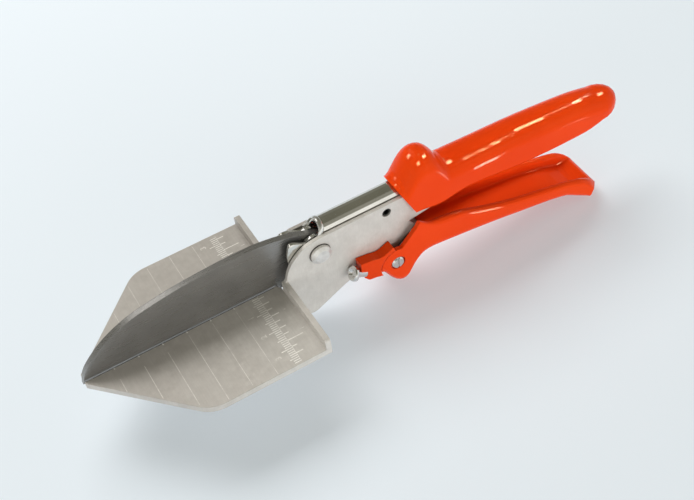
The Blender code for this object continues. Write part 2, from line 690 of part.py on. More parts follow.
# Upper grip
def upper_section(x, top, low, half, steps=CORNER_STEPS):
    crown = top - half
    crown = max(crown, low + UPPER_SOFT * 2)
    rise = top - crown
    loop = []
    for step in range(steps * 4 + 1):
        turn = math.pi * step / (steps * 4)
        loop.append((x, half * math.cos(turn), crown + rise * math.sin(turn)))
    for sign in (-1, 1):
        middle = (x, sign * (half - UPPER_SOFT), low + UPPER_SOFT)
        for step in range(3):
            turn = math.pi / 2 * step / 2
            if sign < 0:
                offset = (-math.cos(turn), -math.sin(turn))
            else:
                offset = (math.sin(turn), -math.cos(turn))
            loop.append((x, middle[1] + UPPER_SOFT * offset[0],
                         middle[2] + UPPER_SOFT * offset[1]))
    return loop


def upper_sections():
    stations = smooth(UPPER_PROFILE, 2)
    loops = []
    for x, top, low in stations:
        share = min(max((x - UPPER_GUARD_X) / (UPPER_END_X / 10), 0), 1)
        half = UPPER_HALF + (UPPER_BARREL_HALF - UPPER_HALF) * share
        loops.append(upper_section(x, top, low, half))
    last_x, last_top, last_low = stations[-1]
    for step in range(1, UPPER_END_STEPS + 1):
        turn = math.pi / 2 * step / (UPPER_END_STEPS + 1 / 2)
        shrink = math.cos(turn)
        x = last_x + (UPPER_END_X - last_x) * math.sin(turn) / math.sin(
            math.pi / 2 * UPPER_END_STEPS / (UPPER_END_STEPS + 1 / 2))
        body = loops[len(stations) - 1]
        loops.append([(x, y * shrink, UPPER_END_Z + (z - UPPER_END_Z) * shrink)
                      for _, y, z in body])
    return loops


upper_grip = loft("upper_grip", upper_sections(), VINYL)
lip_line = [UPPER_LIP_LOW, UPPER_LIP_HIGH, (UPPER_LIP_HIGH[0], REACH), (0, REACH), (0, -REACH),
            (UPPER_LIP_LOW[0], -REACH)]
combine(upper_grip, [
    side_plate("upper_lip_cut", lip_line, -REACH / 2, REACH / 2, None, cutters),
    block("upper_cheek_room", (0, -CHEEK_OUT - FIT, -REACH),
          (CHEEK_END_X + FIT, CHEEK_OUT + FIT, CHEEK_TOP + FIT), None, cutters),
    end_plate("upper_channel_room", arch(CHANNEL_HALF + FIT, CHANNEL_CROWN_Z, -REACH),
              0, CHANNEL_END_X + FIT, None, cutters)])
hollow_line = rounded([(UPPER_HOLLOW[0][0], -REACH, 0)]
                      + [(x, z, UPPER_SOFT * 2) for x, z in UPPER_HOLLOW]
                      + [(UPPER_HOLLOW[-1][0], -REACH, 0)])
combine(upper_grip, [side_plate("upper_hollow", hollow_line, -CHANNEL_HALF, CHANNEL_HALF, None,
                                cutters)])


# Lower handle
def gutter(x, rim, low, half_out, half_in, floor, bow=0, under=0, steps=CORNER_STEPS):
    """Loop in Y and Z of an upright U with rounded rims and corners."""
    wall = half_out - half_in
    depth = rim - low - floor
    corner = min(LOWER_CORNER, (rim - low) * 2 / 5)
    inner_corner = min(max(corner - wall, corner / 4), depth / 3)
    brim = min(wall / 2, depth / 2)
    loop = []

    def arc(centre_y, centre_z, radius_y, radius_z, first, last):
        for step in range(steps + 1):
            turn = first + (last - first) * step / steps
            loop.append((centre_y + radius_y * math.cos(turn), centre_z + radius_z * math.sin(turn)))

    quarter = math.pi / 2
    arc(-(half_out - corner), low + corner, corner, corner, 2 * quarter, 3 * quarter)
    arc(half_out - corner, low + corner, corner, corner, 3 * quarter, 4 * quarter)
    arc(half_out - wall / 2, rim - brim, wall / 2, brim, 0, 2 * quarter)
    arc(half_in - inner_corner, low + floor + inner_corner, inner_corner, inner_corner, 0,
        -quarter)
    arc(-(half_in - inner_corner), low + floor + inner_corner, inner_corner, inner_corner,
        -quarter, -2 * quarter)
    arc(-(half_out - wall / 2), rim - brim, wall / 2, brim, 0, 2 * quarter)
    return [(x - (bow + under * ((rim - z) / (rim - low)) ** 2) * (y / half_out) ** 2, y, z)
            for y, z in loop]


def lower_stations(end_x):
    """Rim and floor heights along the lower handle, up to one length."""
    line = smooth(LOWER_PROFILE, 2)
    stations = [spot for spot in line if spot[0] < end_x - WELD]
    before = stations[-1]
    after = line[len(stations)]
    share = (end_x - before[0]) / (after[0] - before[0])
    return stations + [tuple(a + (b - a) * share for a, b in zip(before, after))]


def lower_loops(half_out, half_in, low_lift, floor_lift, rim_drop, end_x, thinning=0):
    """Sections of the lower handle; its inner side may stand back near the pivot."""
    loops = []
    for x, rim, low in lower_stations(end_x):
        share = min(max((x - LOWER_FLARE_X) / (LOWER_END_X - LOWER_FLARE_X), 0), 1)
        flare = LOWER_FLARE * share
        spoon = min(max((x - LOWER_SPOON_X) / (LOWER_END_X - LOWER_SPOON_X), 0), 1) ** 2
        depth = rim - rim_drop - low - floor_lift - LOWER_SPOON_LIP
        bare = min(max((LINING_FULL_X - x) / (LINING_FULL_X - LINING_START_X), 0), 1) * thinning
        loops.append(gutter(x, rim - rim_drop, low + low_lift, half_out + flare,
                            half_in + flare + bare,
                            floor_lift - low_lift - bare + max(depth, 0) * spoon,
                            LOWER_END_BOW * share, LOWER_END_UNDER * share))
    return loops


def front_cut(name, inset):
    """Everything ahead of the lower handle's front outline, moved back by an inset."""
    radius = BOSS_RADIUS - inset
    slope = Vector(WALL_FRONT_HIGH) - Vector(WALL_FRONT_LOW)
    across = Vector((slope.y, -slope.x)).normalized() * inset
    low = Vector(WALL_FRONT_LOW) + across
    high = Vector(WALL_FRONT_HIGH) + across
    first = math.atan2(low.y - CROSS[1], low.x - CROSS[0])
    lobe_x = LOBE_FRONT_X + inset
    last = 2 * math.pi - math.acos((lobe_x - CROSS[0]) / radius)
    line = [(0, -REACH), (0, REACH), (WALL_FRONT_TOP[0] + inset, REACH),
            (WALL_FRONT_TOP[0] + inset, WALL_FRONT_TOP[1]), tuple(high)]
    steps = CORNER_STEPS * 3
    for step in range(steps + 1):
        turn = first + (last - first) * step / steps
        line.append((CROSS[0] + radius * math.cos(turn), CROSS[1] + radius * math.sin(turn)))
    line.append((lobe_x, -REACH))
    return side_plate(name, line, -REACH / 2, REACH / 2, None, cutters)


floor_coat = LOWER_COAT + FIT
floor_core = floor_coat + LOWER_SHEET
floor_lined = floor_core + FIT + LOWER_LINING
lower_grip = loft("lower_grip", lower_loops(LOWER_HALF, LINING_IN, 0, floor_lined, 0, LOWER_END_X,
                                            LOWER_LINING + FIT + LOWER_SHEET / 2), VINYL,
                  first_rung=GUTTER_RUNG)
core_room = loft("core_room", lower_loops(CORE_OUT + FIT, CORE_IN - FIT, LOWER_COAT,
                                          floor_core + FIT, LOWER_COAT,
                                          CORE_END_X + FIT), None, cutters, GUTTER_RUNG)
combine(core_room, [front_cut("core_room_front", LOWER_COAT)])
combine(lower_grip, [
    front_cut("lower_front_cut", 0),
    core_room,
    cross_rod("screw_head_room", CROSS, SCREW_HEAD + FIT, -REACH, -CORE_IN, None, cutters),
    cross_rod("nut_room", CROSS, NUT_RADIUS + FIT, CORE_IN, REACH, None, cutters)])

lower_core = loft("lower_core", lower_loops(CORE_OUT, CORE_IN, floor_coat, floor_core, floor_coat,
                                            CORE_END_X), STEEL, first_rung=GUTTER_RUNG)
combine(lower_core, [
    front_cut("core_front_cut", floor_coat),
    cross_rod("core_screw_bore", CROSS, SCREW_RADIUS + FIT, -REACH, REACH, None, cutters),
    cross_rod("core_rivet_bore", TANG_RIVET, TANG_RIVET_RADIUS + FIT, -REACH, REACH, None,
              cutters)])

# Lower handle's fastenings
head_seat = CORE_OUT + FIT
cross_screw = turned("cross_screw", [
    (0, -head_seat - SCREW_HEAD_TALL), (SCREW_HEAD - SCREW_SLOT_DEEP, -head_seat - SCREW_HEAD_TALL),
    (SCREW_HEAD, -head_seat - SCREW_HEAD_TALL / 2), (SCREW_HEAD, -head_seat),
    (SCREW_RADIUS, -head_seat), (SCREW_RADIUS, head_seat + NUT_TALL + SCREW_TAIL),
    (0, head_seat + NUT_TALL + SCREW_TAIL)], (CROSS[0], 0, CROSS[1]), ZINC)
combine(cross_screw, [block(
    "screw_slot", (CROSS[0] - SCREW_SLOT_WIDE / 2, -REACH, CROSS[1] - SCREW_HEAD - FIT),
    (CROSS[0] + SCREW_SLOT_WIDE / 2, -head_seat - SCREW_HEAD_TALL + SCREW_SLOT_DEEP,
     CROSS[1] + SCREW_HEAD + FIT), None, cutters)])
ring("cross_nut", CROSS, NUT_RADIUS, SCREW_RADIUS + FIT, head_seat, head_seat + NUT_TALL, ZINC, 6)
ring("screw_sleeve_near", CROSS, SLEEVE_RADIUS, SCREW_RADIUS + FIT, -CHEEK_OUT,
     -BLADE_HALF - FIT, ZINC)
ring("screw_sleeve_far", CROSS, SLEEVE_RADIUS, SCREW_RADIUS + FIT, BLADE_HALF + FIT,
     CORE_IN - FIT, ZINC)
cross_rod("tang_rivet", TANG_RIVET, TANG_RIVET_RADIUS, -CORE_OUT, CORE_OUT, ZINC)
ring("tang_spacer_near", TANG_RIVET, TANG_SPACER_RADIUS, TANG_RIVET_RADIUS + FIT, -CORE_IN + FIT,
     -BLADE_HALF - FIT, ZINC)
ring("tang_spacer_far", TANG_RIVET, TANG_SPACER_RADIUS, TANG_RIVET_RADIUS + FIT,
     BLADE_HALF + FIT, CORE_IN - FIT, ZINC)

# Latch
latch_line = [(x, z, 0) for x, z in smooth(LATCH_TOP)]
latch_line[-1] = (*LATCH_TOP[-1], LATCH_SOFT / 2)
gap_radius = BOSS_RADIUS + FIT
for arc_step in range(CORNER_STEPS * 2 + 1):
    arc_turn = LATCH_ARC_FIRST + (LATCH_ARC_LAST - LATCH_ARC_FIRST) * arc_step / (CORNER_STEPS * 2)
    latch_line.append((CROSS[0] + gap_radius * math.cos(arc_turn),
                       CROSS[1] + gap_radius * math.sin(arc_turn), 0))
latch_line += [(x, z, LATCH_SOFT) for x, z in LATCH_LOW]
latch_lever = side_plate("latch_lever", rounded(latch_line), -LATCH_OUT, -LATCH_IN, LATCH_VINYL)
tongue = cross_rod("latch_tongue", CROSS, TONGUE_RADIUS, -TONGUE_OUT, -LATCH_IN - LAP, None,
                   cutters)
bridge_line = [(LATCH_TOP[2][0], CROSS[1] + TONGUE_RADIUS * 2 / 3),
               (CROSS[0], CROSS[1] + TONGUE_RADIUS - LAP),
               (CROSS[0], CROSS[1]),
               (LATCH_LOW[0][0] - LATCH_SOFT, CROSS[1])]
bridge = side_plate("latch_bridge", bridge_line, -TONGUE_OUT + LAP, -LATCH_IN - LAP * 2, None,
                    cutters)
combine(latch_lever, [tongue, bridge], "UNION")
stud_place = Matrix.Translation(STUD_ENTRY) @ Matrix.Rotation(STUD_TILT, 4, "Y")
stud_bore = bpy.data.meshes.new("stud_bore")
bore_work = bmesh.new()
bmesh.ops.create_cone(bore_work, cap_ends=True, segments=SMALL_SIDES, radius1=STUD_SHANK + FIT,
                      radius2=STUD_SHANK + FIT, depth=STUD_OUT + STUD_TAIL + FIT)
for bore_corner in bore_work.verts:
    across_x, across_y, along = bore_corner.co
    bore_corner.co = stud_place @ Vector((along + (STUD_TAIL + FIT - STUD_OUT) / 2, across_x,
                                          across_y))
bore_work.to_mesh(stud_bore)
bore_work.free()
combine(latch_lever, [
    cross_rod("latch_bore", CROSS, SCREW_RADIUS + FIT, -REACH, REACH, None, cutters),
    cross_rod("catch_bore", CATCH, CATCH_RADIUS + FIT, -CATCH_OUT - FIT, 0, None, cutters),
    place("stud_bore", stud_bore, None, cutters)])
cross_rod("catch_pin", CATCH, CATCH_RADIUS, -CATCH_OUT, -CATCH_IN, ZINC)
latch_stud = turned("latch_stud", [
    (0, -STUD_OUT), (STUD_HEAD_RADIUS - STUD_SLOT_DEEP, -STUD_OUT),
    (STUD_HEAD_RADIUS, STUD_HEAD_TALL / 3 - STUD_OUT),
    (STUD_HEAD_RADIUS, STUD_HEAD_TALL - STUD_OUT),
    (STUD_COLLAR_RADIUS, STUD_HEAD_TALL - STUD_OUT),
    (STUD_COLLAR_RADIUS, STUD_HEAD_TALL + STUD_COLLAR_TALL - STUD_OUT),
    (STUD_SHANK, STUD_HEAD_TALL + STUD_COLLAR_TALL - STUD_OUT),
    (STUD_SHANK, STUD_TAIL), (0, STUD_TAIL)], (0, 0, 0), ZINC, True)
stud_slot = block("stud_slot", (-STUD_OUT - FIT, -STUD_SLOT_WIDE / 2, -STUD_HEAD_RADIUS - FIT),
                  (STUD_SLOT_DEEP - STUD_OUT, STUD_SLOT_WIDE / 2, STUD_HEAD_RADIUS + FIT),
                  None, cutters)
for stud_shape in (latch_stud, stud_slot):
    stud_shape.data.transform(stud_place)
combine(latch_stud, [stud_slot])

LEVER_PIECES = ("blade", "lower_core", "lower_grip", "cross_screw", "cross_nut",
                "screw_sleeve_near", "screw_sleeve_far", "tang_rivet", "tang_spacer_near",
                "tang_spacer_far")
LATCH_PIECES = ("latch_lever", "latch_stud", "catch_pin")
for names, axis in ((LEVER_PIECES, lever_axis), (LATCH_PIECES, latch_axis)):
    for piece in names:
        bpy.data.objects[piece].parent = axis
        bpy.data.objects[piece].location = -axis.location

bpy.context.view_layer.update()
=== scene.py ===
"""Looks of the profile shears: finishes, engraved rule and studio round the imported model."""

import json
import math

import bmesh
import bpy
from mathutils import Matrix, Vector


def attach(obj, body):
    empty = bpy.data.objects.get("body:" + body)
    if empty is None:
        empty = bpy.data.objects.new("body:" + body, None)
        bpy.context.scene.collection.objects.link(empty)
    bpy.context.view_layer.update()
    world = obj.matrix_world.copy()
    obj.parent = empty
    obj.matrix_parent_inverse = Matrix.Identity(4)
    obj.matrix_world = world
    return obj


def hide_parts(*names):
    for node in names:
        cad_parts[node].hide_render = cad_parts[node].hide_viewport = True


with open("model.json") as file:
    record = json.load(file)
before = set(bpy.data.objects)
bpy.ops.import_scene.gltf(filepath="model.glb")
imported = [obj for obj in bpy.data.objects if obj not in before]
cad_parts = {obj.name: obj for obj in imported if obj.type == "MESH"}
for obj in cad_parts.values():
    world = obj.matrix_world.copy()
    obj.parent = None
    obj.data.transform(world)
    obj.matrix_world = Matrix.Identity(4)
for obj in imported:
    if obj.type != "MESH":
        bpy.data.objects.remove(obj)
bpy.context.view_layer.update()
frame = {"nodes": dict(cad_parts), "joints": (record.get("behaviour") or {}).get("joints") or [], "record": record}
nodes_by_name = frame["nodes"]
mount_at = {mount["name"]: Vector(mount["pos_m"]) for mount in frame["record"]["mounts"]}
joint_at = {joint["name"]: Vector(joint["pos_m"]) for joint in frame["joints"]}

# The tool's own frame: X from the tip to the handles, zero at the fence, Y from the blade's middle plane
# towards the far side, Z up from the table's face
TOOL = Vector((mount_at["near_fence_face"].x, joint_at["blade_pivot"].y, mount_at["near_table_face"].z))

# Table: half the slot's width, and how far each wing reaches from the slot's middle
SLOT_HALF = 0.0016
HALF_NEAR = 0.0392
HALF_FAR = 0.0370

# Cross lines, each with a short deep stub at the slot's edge
FIRST_LINE_X = -0.020
LINE_PITCH = 0.010
LINE_WIDE = 0.00026
STUB_WIDE = 0.00050
STUB_START = 0.0001
STUB_END = 0.0010
NEAR_LINES = ((0.0038, 0.0387), (0.0038, 0.0380), (0.0038, 0.0385),
              (0.0066, 0.0345), (0.0073, 0.0247), (0.0078, 0.0145))
FAR_LINES = ((0.0200, 0.0364), (0.0205, 0.0364), (0.0180, 0.0360),
             (0.0165, 0.0320), (0.0130, 0.0225), (0.0080, 0.0122))

# Rule beside the fence: its base line, millimetres towards the tip and eighths towards the fence, as
# they are spaced there. Lengths go by the first step that divides a graduation's number.
RULE_X = -0.0099
BASE_WIDE = 0.00014
BASE_START = 0.0002
BASE_MARGIN = 0.0010
MILLIMETRE = 0.001
MILLIMETRE_WIDE = 0.00044
MILLIMETRE_LENGTHS = ((10, 0.0046), (5, 0.0036), (1, 0.0027))
FIRST_MILLIMETRE = 2
MILLIMETRE_SHIFT = 0.0009
MILLIMETRE_MARGIN = 0.0020
EIGHTH = 0.00339
EIGHTH_WIDE = 0.00048
EIGHTH_LENGTHS = ((8, 0.0065), (4, 0.0034), (2, 0.0028), (1, 0.0022))
EIGHTH_MARGIN = 0.0030

# Painted shade: a dark line along the slot's edge, where the gap shades the wing
EDGE_IN = 0.00015
EDGE_WIDE = 0.00026
EDGE_FRONT_X = -0.0785
EDGE_REAR_X = -0.0025

# Strokes lie just above the face, and the far wing's are finer
MARK_LIFT = 0.00002
NEAR_WIDE_SHARE = 1.0
FAR_WIDE_SHARE = 0.7

# Numbers of the rule, read from the handles' end; the small ones are name, digit, place and size
NUMBER_TURN = math.radians(90)
NUMBER_SIZE = 0.0032
NUMBER_X = -0.0166
NUMBER_SWELL_SHARE = 0.02
CENTIMETRES = ((1, 0.0102), (2, 0.0208), (3, 0.0326))
SMALL_NUMBERS = (("near_inch_half", "4", (-0.0039, -0.0133), 0.0018),
                 ("near_inch_1", "1", (-0.0026, -0.0250), 0.0024),
                 ("far_inch_1", "1", (-0.0026, 0.0250), 0.0024))

# Order of the looks on a wing's marks
ENGRAVED_PLACE = 0
SCRIBED_PLACE = 1
PAINTED_SHADE_PLACE = 2

# Turned shapes and beads
ROUND_SIDES = 48
BEAD_SIDES = 18
SHARP_EDGE = math.radians(38)

# Thumb stud with a dished head on a thick bright shank: rows of radius and place along it
STUD_AT = Vector((0.0320, -0.0096, -0.0066))
STUD_TILT = math.radians(28)
STUD_ROWS = ((0, -0.0042), (0.0010, -0.0042), (0.0015, -0.0049), (0.0022, -0.0053), (0.0028, -0.0052),
             (0.0032, -0.0047), (0.0032, -0.0038), (0.0029, -0.0034), (0.0020, -0.0034),
             (0.0018, -0.0030), (0.0018, 0.0014), (0.0010, 0.0014), (0.0010, 0.0022), (0, 0.0022))

# Rounded lip round the channel's mouth, which lies on rows of level and X
MOUTH_HALF = 0.0045
MOUTH_CENTRE_Z = 0.0186
MOUTH_TURN = math.radians(14)
MOUTH_LINE = ((0.0174, 0.0160), (0.0184, 0.0186), (0.0212, 0.0203), (0.0240, 0.0209))
LIP_TALL = 0.00050
LIP_WIDE = 0.00105
LIP_STEPS = 28

# Painted shade: a dark line where the main rivet's head seats on the near cheek
CHEEK_OUTSIDE = 0.0063
SEAT_RADIUS = 0.0046
SEAT_PROUD = 0.00003

# Floor
FLOOR_SPAN = 6.0
FLOOR_STEPS = 12
FLOOR_LEVEL = -0.0004
FLOOR_GLOW = (0.86, 0.94, 1.0, 1.0)
FLOOR_GLOW_STRENGTH = 0.30

# Soft boxes: name, place, aim, width, height, watts, tint, and whether they show in reflections
SOFTBOXES = (("side", (-0.85, -0.45, 0.22), (0.0, 0.0, 0.02), 0.50, 0.36, 1.9, (1.0, 0.99, 0.975), False),
             ("key", (-0.33, 0.55, 0.88), (0.0, 0.0, 0.02), 0.50, 0.50, 1.6, (1.0, 0.985, 0.965), True),
             ("sky", (0.0, 0.68, 0.90), (0.0, 0.0, 0.02), 0.90, 0.70, 9.0, (1.0, 0.985, 0.965), False),
             ("fill", (0.30, -1.10, 0.16), (0.0, 0.0, 0.03), 0.80, 0.30, 5.0, (1.0, 0.985, 0.97), False))

# Narrow lights for the streaks on the dipped pieces: name, start, end, width and watts
STRIPS = (("strip_start", (0.45, -0.72, 0.58), (0.50, -0.60, 0.74), 0.024, 2.2),
          ("strip_front", (0.50, -0.60, 0.74), (0.57, -0.40, 0.83), 0.012, 1.5),
          ("strip_middle", (0.57, -0.40, 0.83), (0.635, -0.24, 0.85), 0.080, 5.6),
          ("strip_back", (0.635, -0.24, 0.85), (0.856, 0.24, 0.67), 0.070, 17.0),
          ("strip_far", (0.856, 0.24, 0.67), (0.80, 0.45, 0.56), 0.030, 0.7),
          ("strip_hump_right", (0.145, 0.12, 1.05), (-0.185, -0.35, 0.97), 0.050, 9.0),
          ("strip_hump_low", (-0.185, -0.35, 0.97), (-0.335, -0.64, 0.74), 0.060, 7.0),
          ("strip_hump_left", (-0.10, 0.88, 0.50), (-0.745, 0.43, 0.52), 0.034, 6.0),
          ("strip_low_front", (0.078, -0.050, 0.006), (0.095, -0.075, 0.006), 0.010, 0.035),
          ("strip_low_rear", (0.125, -0.055, 0.006), (0.155, -0.080, 0.006), 0.008, 0.018))
STRIP_TINT = (1.0, 0.97, 0.93)
STRIP_AIM = Vector((0.05, 0.0, 0.03))
DIPPED = ("upper_grip", "lower_grip", "latch_lever")

# Surroundings: tones by height, which is 0 straight down and 1 straight up, and the directions
# between which the near side's tones turn into the far side's
NEAR_SKY = ((0.0, (0.45, 0.45, 0.44)), (0.475, (0.50, 0.50, 0.48)), (0.510, (0.95, 0.94, 0.90)),
            (0.535, (1.18, 1.17, 1.12)), (0.64, (1.15, 1.14, 1.08)), (0.727, (0.60, 0.59, 0.53)),
            (0.794, (0.33, 0.32, 0.27)), (0.841, (0.22, 0.215, 0.175)), (0.889, (0.18, 0.175, 0.135)),
            (0.94, (0.17, 0.165, 0.125)), (1.0, (0.17, 0.165, 0.125)))
FAR_SKY = ((0.0, (0.45, 0.45, 0.44)), (0.50, (0.45, 0.45, 0.42)), (0.66, (0.26, 0.255, 0.22)),
           (0.85, (0.18, 0.175, 0.135)), (1.0, (0.17, 0.165, 0.125)))
NEAR_SKY_Y = -0.25
FAR_SKY_Y = 0.35
NEW_STOP = 0.5

# Camera at the photograph's viewing angle: place in the tool's own frame, and turns about X, Y and Z
IMAGE_WIDE = 694
FOCAL_PIXELS = 1209.46
SENSOR = 36.0
CLIP_START = 0.01
CAMERA_AT = Vector((-0.095225, -0.289475, 0.356610))
CAMERA_TURNS = (41.0974, 5.6030, -29.9591)


class Finish:
    """A node material with short names for the nodes it is made of."""

    edge_samples = 6

    def __init__(self, name, **sockets):
        self.material = bpy.data.materials.new(name)
        self.material.use_nodes = True
        self.tree = self.material.node_tree
        self.shader = self.tree.nodes["Principled BSDF"]
        for key, value in sockets.items():
            self.shader.inputs[key.replace("_", " ")].default_value = value
        self.where = self.add("ShaderNodeTexCoord").outputs["Object"]

    def add(self, kind):
        """A new node of a kind."""
        return self.tree.nodes.new(kind)

    def link(self, source, target):
        """Gives a socket a number, a colour or another node's output."""
        if isinstance(source, (int, float)):
            target.default_value = source
        elif isinstance(source, tuple):
            target.default_value = (*source, 1.0)
        else:
            self.tree.links.new(source, target)

    def stretched(self, scale):
        """Places on the object, scaled by a share along each axis."""
        node = self.add("ShaderNodeMapping")
        node.inputs["Scale"].default_value = scale
        self.link(self.where, node.inputs["Vector"])
        return node.outputs["Vector"]

    def noise(self, scale, detail, rough, stretch=None):
        """Cloudy noise, drawn out along the axes that stretch makes small."""
        node = self.add("ShaderNodeTexNoise")
        node.inputs["Scale"].default_value = scale
        node.inputs["Detail"].default_value = detail
        node.inputs["Roughness"].default_value = rough
        self.link(self.stretched(stretch) if stretch else self.where, node.inputs["Vector"])
        return node.outputs["Fac"]

    def math(self, operation, first, second):
        """A sum or product of two values."""
        node = self.add("ShaderNodeMath")
        node.operation = operation
        self.link(first, node.inputs[0])
        self.link(second, node.inputs[1])
        return node.outputs[0]

    def spread(self, value, low, high, to_low=0.0, to_high=1.0):
        """A value's range from low to high, mapped to another."""
        node = self.add("ShaderNodeMapRange")
        node.inputs["From Min"].default_value = low
        node.inputs["From Max"].default_value = high
        node.inputs["To Min"].default_value = to_low
        node.inputs["To Max"].default_value = to_high
        self.link(value, node.inputs["Value"])
        return node.outputs["Result"]

    def mix(self, share, first, second, blend="MIX"):
        """Two colours, blended by a share of the second."""
        node = self.add("ShaderNodeMix")
        node.data_type = "RGBA"
        node.blend_type = blend
        self.link(share, node.inputs["Factor"])
        self.link(first, node.inputs["A"])
        self.link(second, node.inputs["B"])
        return node.outputs["Result"]

    def tinted(self, tone, tint):
        """A colour multiplied by another."""
        return self.mix(1.0, tone, tint, "MULTIPLY")

    def axis(self, letter):
        """Place along one axis."""
        node = self.add("ShaderNodeSeparateXYZ")
        self.link(self.where, node.inputs[0])
        return node.outputs[letter]

    def bump(self, height, strength, distance, edge):
        """Relief from a height, over edges softened by a radius."""
        node = self.add("ShaderNodeBump")
        soft = self.add("ShaderNodeBevel")
        soft.samples = self.edge_samples
        soft.inputs["Radius"].default_value = edge
        self.link(soft.outputs["Normal"], node.inputs["Normal"])
        node.inputs["Strength"].default_value = strength
        node.inputs["Distance"].default_value = distance
        self.link(height, node.inputs["Height"])
        self.link(node.outputs["Normal"], self.shader.inputs["Normal"])

    def colour(self, source):
        """Sets the base colour."""
        self.link(source, self.shader.inputs["Base Color"])

    def roughness(self, source):
        """Sets the roughness."""
        self.link(source, self.shader.inputs["Roughness"])


def frame_steel():
    """Dull plated sheet, mottled and rubbed, with painted light on the near side towards the cheek and painted
    shade towards the tip and on the far side.
    """
    dark = (0.560, 0.528, 0.494)
    pale = (0.660, 0.628, 0.592)
    clouded = (0.615, 0.588, 0.555)
    rubbed = (0.500, 0.468, 0.436)
    f = Finish("frame_steel_look", Metallic=0.38)
    mottle = f.noise(scale=260, detail=7.0, rough=0.62)
    cloud = f.noise(scale=55, detail=4.0, rough=0.5)
    grain = f.noise(scale=90, detail=5.0, rough=0.6, stretch=(22, 1.2, 4))
    tone = f.mix(f.spread(mottle, low=0.36, high=0.64), dark, pale)
    tone = f.mix(f.spread(cloud, low=0.35, high=0.68, to_high=0.60), tone, clouded)
    tone = f.mix(f.spread(grain, low=0.42, high=0.60, to_high=0.20), tone, rubbed)
    # Painted shade and painted light: a darker copy of the tone towards the tip and on the far side, and a lighter
    # copy on the near side towards the cheek
    painted_shade_tone = f.tinted(tone, (0.88, 0.875, 0.87))
    bright = f.tinted(tone, (1.07, 1.08, 1.08))
    rear = f.mix(f.spread(f.axis("Y"), low=0.0, high=0.006), bright, painted_shade_tone)
    f.colour(f.mix(f.spread(f.axis("X"), low=-0.100, high=-0.042), painted_shade_tone, rear))
    f.roughness(f.spread(mottle, low=0.3, high=0.7, to_low=0.42, to_high=0.50))
    relief = f.math("ADD", f.math("MULTIPLY", grain, 0.6), mottle)
    f.bump(relief, strength=0.18, distance=0.00012, edge=0.00030)
    return f.material


def channel_steel():
    """Bright drawn sheet with fine lines along the channel."""
    dark = (0.68, 0.67, 0.63)
    pale = (0.77, 0.76, 0.72)
    f = Finish("channel_steel_look", Metallic=1.0)
    drawn = f.noise(scale=60, detail=4.0, rough=0.6, stretch=(0.5, 30, 30))
    cloud = f.noise(scale=70, detail=3.0, rough=0.5)
    f.colour(f.mix(f.spread(cloud, low=0.35, high=0.65), dark, pale))
    f.roughness(f.spread(drawn, low=0.35, high=0.65, to_low=0.15, to_high=0.23))
    f.bump(drawn, strength=0.05, distance=0.0001, edge=0.0003)
    return f.material


def blade_steel():
    """Dark ground steel with lines along the blade."""
    dark = (0.255, 0.250, 0.243)
    pale = (0.325, 0.318, 0.308)
    scored = (0.220, 0.214, 0.207)
    f = Finish("blade_steel_look", Metallic=0.75)
    ground = f.noise(scale=75, detail=6.0, rough=0.65, stretch=(1.0, 30, 26))
    cloud = f.noise(scale=38, detail=4.0, rough=0.55)
    tone = f.mix(f.spread(cloud, low=0.34, high=0.68), dark, pale)
    f.colour(f.mix(f.spread(ground, low=0.4, high=0.62, to_high=0.13), tone, scored))
    f.roughness(f.spread(ground, low=0.3, high=0.7, to_low=0.24, to_high=0.36))
    f.bump(ground, strength=0.05, distance=0.0001, edge=0.0002)
    return f.material


def bright_steel(name, low, high, rough):
    """Bright steel with fine specks, between two tones."""
    rougher = rough + 0.12
    f = Finish(name, Metallic=1.0)
    speck = f.noise(scale=420, detail=5.0, rough=0.6)
    cloud = f.noise(scale=150, detail=3.0, rough=0.5)
    f.colour(f.mix(f.spread(cloud, low=0.34, high=0.66), low, high))
    f.roughness(f.spread(speck, low=0.3, high=0.7, to_low=rough, to_high=rougher))
    f.bump(speck, strength=0.12, distance=0.0002, edge=0.0003)
    return f.material


def headed_steel():
    """Hammered head of a rivet, dull and uneven."""
    dark = (0.70, 0.68, 0.65)
    pale = (0.92, 0.90, 0.87)
    f = Finish("headed_steel_look", Metallic=0.8)
    speck = f.noise(scale=520, detail=5.0, rough=0.65)
    cloud = f.noise(scale=210, detail=4.0, rough=0.6)
    f.colour(f.mix(f.spread(cloud, low=0.36, high=0.64), dark, pale))
    f.roughness(f.spread(speck, low=0.3, high=0.7, to_low=0.30, to_high=0.44))
    relief = f.math("ADD", speck, f.math("MULTIPLY", cloud, 3.0))
    f.bump(relief, strength=0.55, distance=0.0004, edge=0.0004)
    return f.material


def dipped_vinyl(name, low, high):
    """Glossy dipped coat with slow sags and small ripples, between two tones."""
    f = Finish(name, IOR=1.15, Specular_IOR_Level=1.0, Specular_Tint=(1.0, 0.58, 0.27, 1.0))
    sag = f.noise(scale=62, detail=2.0, rough=0.4, stretch=(0.8, 1.0, 1.0))
    ripple = f.noise(scale=260, detail=2.0, rough=0.45)
    cloud = f.noise(scale=34, detail=3.0, rough=0.5)
    f.colour(f.mix(f.spread(cloud, low=0.34, high=0.68), low, high))
    f.roughness(f.spread(ripple, low=0.3, high=0.7, to_low=0.04, to_high=0.07))
    relief = f.math("ADD", f.math("MULTIPLY", sag, 0.6), f.math("MULTIPLY", ripple, 0.2))
    f.bump(relief, strength=0.16, distance=0.0009, edge=0.0004)
    return f.material


def crevice():
    """Painted shade: a dark, faintly mottled tone laid on narrow gaps."""
    dark = (0.080, 0.072, 0.064)
    pale = (0.150, 0.138, 0.125)
    f = Finish("painted_shade_look", Metallic=0.2)
    shade_mottle = f.noise(scale=600, detail=5.0, rough=0.65)
    f.colour(f.mix(f.spread(shade_mottle, low=0.34, high=0.66), dark, pale))
    f.roughness(f.spread(shade_mottle, low=0.3, high=0.7, to_low=0.5, to_high=0.7))
    return f.material


